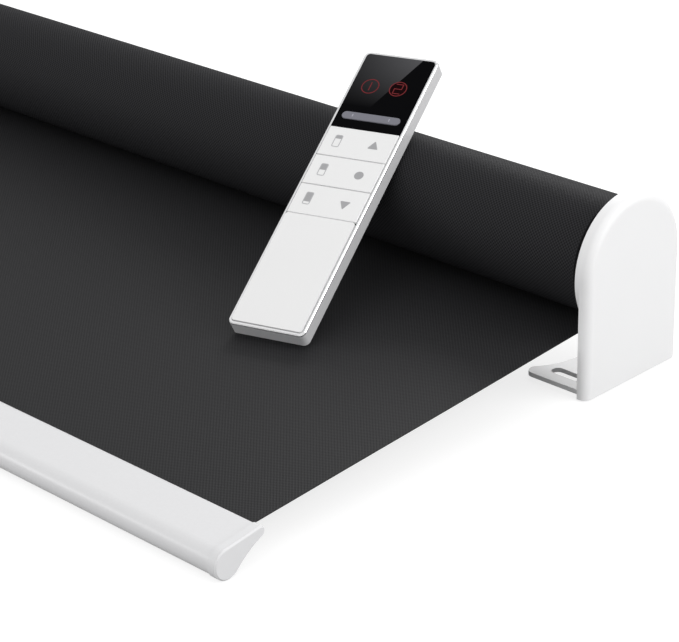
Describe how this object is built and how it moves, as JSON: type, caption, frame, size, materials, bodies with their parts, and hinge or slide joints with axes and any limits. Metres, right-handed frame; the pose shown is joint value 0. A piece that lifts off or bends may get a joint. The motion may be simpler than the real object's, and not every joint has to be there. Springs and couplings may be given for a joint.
{
  "type": "motorized roller blind",
  "caption": "Motorized roller blind with end covers, slotted wall brackets, fabric roll on a motor tube, teardrop bottom bar and a leaning hand remote.",
  "frame": {"origin": "centre of the four wall slots, on the face of the bracket feet that lies on the wall", "axes": "+X along the roller towards the motor head, +Z out of the wall, -Y the way the fabric hangs down"},
  "size_m": [0.6, 0.2584, 0.104],
  "materials": {
    "white_plastic": "satin",
    "bracket_steel": "powder coat",
    "tube_aluminium": "mill finish",
    "blackout_fabric": "fine woven, charcoal",
    "bar_aluminium": "white powder coat",
    "rod_steel": "rolled",
    "black_plastic": "moulded",
    "clear_plastic": "moulded",
    "spring_steel": "bright",
    "sleeve_steel": "zinc plated",
    "cell_wrap": "shrink film",
    "board_green": "solder mask",
    "gear_steel": "turned",
    "grey_plastic": "moulded",
    "remote_plastic": "fine satin",
    "remote_grey": "satin",
    "display_black": "polished",
    "rocker_grey": "satin",
    "pad_rubber": "silicone"
  },
  "bodies": {
    "fixed": {"cover_right": "white_plastic", "cover_left": "white_plastic", "bracket_right": "bracket_steel", "bracket_left": "bracket_steel", "guard_right": "white_plastic", "guard_left": "white_plastic", "motor_head": "black_plastic", "motor_adaptor": "black_plastic", "adaptor_screws": "spring_steel", "motor_retaining_clip": "spring_steel", "motor_sleeve": "sleeve_steel", "battery_cells": "cell_wrap", "battery_cradle": "black_plastic", "control_board": "board_green", "drive_motor": "sleeve_steel", "motor_brake": "gear_steel", "gearbox": "gear_steel", "output_bearing": "grey_plastic", "idle_socket": "grey_plastic", "charge_board": "board_green", "charge_port": "sleeve_steel", "program_switch": "black_plastic", "status_light": "clear_plastic", "fabric_sheet": "blackout_fabric"},
    "roller": {"roller_tube": "tube_aluminium", "fabric_keeper_strip": "clear_plastic", "fabric_roll": "blackout_fabric", "output_shaft": "gear_steel", "drive_wheel": "black_plastic", "shaft_clip": "spring_steel", "crown_ring": "black_plastic", "idle_plug": "grey_plastic", "idle_plug_cap": "grey_plastic", "idle_spring": "spring_steel"},
    "idle_pin_body": {"idle_pin": "grey_plastic"},
    "bottom_bar_body": {"bottom_bar": "bar_aluminium", "bottom_bar_rod": "rod_steel", "bar_cap_right": "white_plastic", "bar_cap_left": "white_plastic"},
    "program_button_body": {"program_button": "white_plastic"},
    "remote": {"remote_back": "remote_grey", "remote_frame": "remote_plastic", "remote_plate": "remote_plastic", "remote_lens": "display_black", "remote_board": "board_green", "remote_key_pad": "pad_rubber", "remote_display": "display_black", "remote_coin_cell": "gear_steel", "remote_coin_clip": "spring_steel"},
    "key_down": {"remote_key_down": "remote_plastic"},
    "key_stop": {"remote_key_stop": "remote_plastic"},
    "key_up": {"remote_key_up": "remote_plastic"},
    "channel_rocker_body": {"channel_rocker": "rocker_grey"},
    "battery_door": {"remote_battery_door": "remote_grey"}
  },
  "joints": [
    {"name": "roller_spin", "type": "hinge", "parent": "fixed", "child": "roller", "pos_m": [0, 0, 0.0513], "axis": [1, 0, 0], "range_deg": [0, 341]},
    {"name": "bar_travel", "type": "slide", "parent": "fixed", "child": "bottom_bar_body", "axis": [0, 0.9979, 0.0654], "range_m": [0, 0.15], "deforming": ["fabric_sheet"]},
    {"name": "remote_lift", "type": "slide", "parent": "fixed", "child": "remote", "axis": [0, 0, 1], "range_m": [0, 0.08]},
    {"name": "idle_pin_retract", "type": "slide", "parent": "roller", "child": "idle_pin_body", "axis": [1, 0, 0], "range_m": [0, 0.008], "stiffness_N_per_m": 400, "springref_m": -0.01, "deforming": ["idle_spring"]},
    {"name": "program_press", "type": "slide", "parent": "fixed", "child": "program_button_body", "axis": [0, -1, 0], "range_m": [0, 0.0005], "stiffness_N_per_m": 300, "springref_m": -0.002},
    {"name": "key_down_rock", "type": "hinge", "parent": "remote", "child": "key_down", "pos_m": [0.17713, -0.05056, 0.06006], "axis": [-0.2443, 0.8197, 0.518], "range_deg": [-1.2, 1.2], "stiffness_Nm_per_rad": 0.1},
    {"name": "key_stop_rock", "type": "hinge", "parent": "remote", "child": "key_stop", "pos_m": [0.17322, -0.03744, 0.06835], "axis": [-0.2443, 0.8197, 0.518], "range_deg": [-1.2, 1.2], "stiffness_Nm_per_rad": 0.1},
    {"name": "key_up_rock", "type": "hinge", "parent": "remote", "child": "key_up", "pos_m": [0.16931, -0.02433, 0.07664], "axis": [-0.2443, 0.8197, 0.518], "range_deg": [-1.2, 1.2], "stiffness_Nm_per_rad": 0.1},
    {"name": "channel_rock", "type": "hinge", "parent": "remote", "child": "channel_rocker_body", "pos_m": [0.16575, -0.01242, 0.08463], "axis": [-0.2443, 0.8197, 0.518], "range_deg": [-1.2, 1.2], "stiffness_Nm_per_rad": 0.1},
    {"name": "battery_door_turn", "type": "hinge", "parent": "remote", "child": "battery_door", "pos_m": [0.18283, -0.06921, 0.04053], "axis": [-0.1277, 0.5024, -0.8552], "range_deg": [0, 40]}
  ],
  "couplings": [
    {"joint": "bar_travel", "follows": "roller_spin", "m_per_rad": 0.0252},
    {"joint": "remote_lift", "follows": "roller_spin", "m_per_rad": 0.01344}
  ]
}
